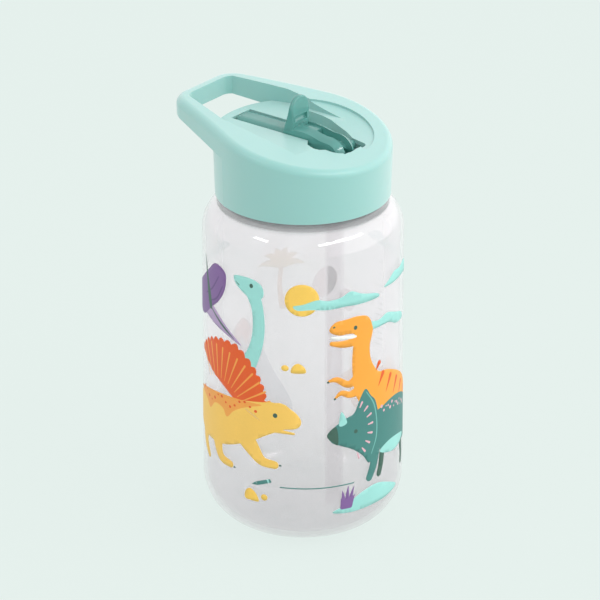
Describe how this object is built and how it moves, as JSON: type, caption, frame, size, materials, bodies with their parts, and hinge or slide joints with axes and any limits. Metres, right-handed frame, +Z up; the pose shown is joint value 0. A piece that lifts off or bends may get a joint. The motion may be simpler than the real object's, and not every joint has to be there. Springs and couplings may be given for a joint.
{
  "type": "kids water bottle",
  "caption": "Clear wide-mouth children's bottle with a screw lid, carry loop and flip-up straw spout.",
  "frame": {"origin": "centre of the base, on the surface the bottle stands on", "axes": "+Z up along the bottle's axis, carry loop towards -X, spout hinge and straw towards +X"},
  "size_m": [0.086, 0.074, 0.1672],
  "materials": {
    "clear_bottle": "clear blow-moulded copolyester, polished",
    "lid_plastic": "mint polypropylene, satin moulded",
    "insert_plastic": "natural polypropylene, satin moulded",
    "spout_plastic": "tinted translucent copolyester, polished",
    "straw_plastic": "clear extruded tube",
    "silicone": "translucent food-grade silicone"
  },
  "bodies": {
    "bottle": {"bottle_body": "clear_bottle"},
    "gasket": {"neck_gasket": "silicone"},
    "lid": {"lid_shell": "lid_plastic", "lid_insert": "insert_plastic", "spout_seal": "silicone", "straw": "straw_plastic", "vent_valve": "silicone"},
    "spout": {"spout": "spout_plastic"}
  },
  "joints": [
    {"name": "lid_lift", "type": "slide", "parent": "bottle", "child": "gasket", "axis": [0, 0, 1], "range_m": [0, 0.0038]},
    {"name": "lid_turn", "type": "hinge", "parent": "gasket", "child": "lid", "pos_m": [0, 0, 0.1302], "axis": [0, 0, 1], "range_deg": [0, 345]},
    {"name": "spout_flip", "type": "hinge", "parent": "lid", "child": "spout", "pos_m": [0.0146, 0, 0.1488], "axis": [0, 1, 0], "range_deg": [0, 90]}
  ],
  "couplings": [
    {"joint": "lid_turn", "follows": "lid_lift", "rad_per_m": 1570.8}
  ]
}
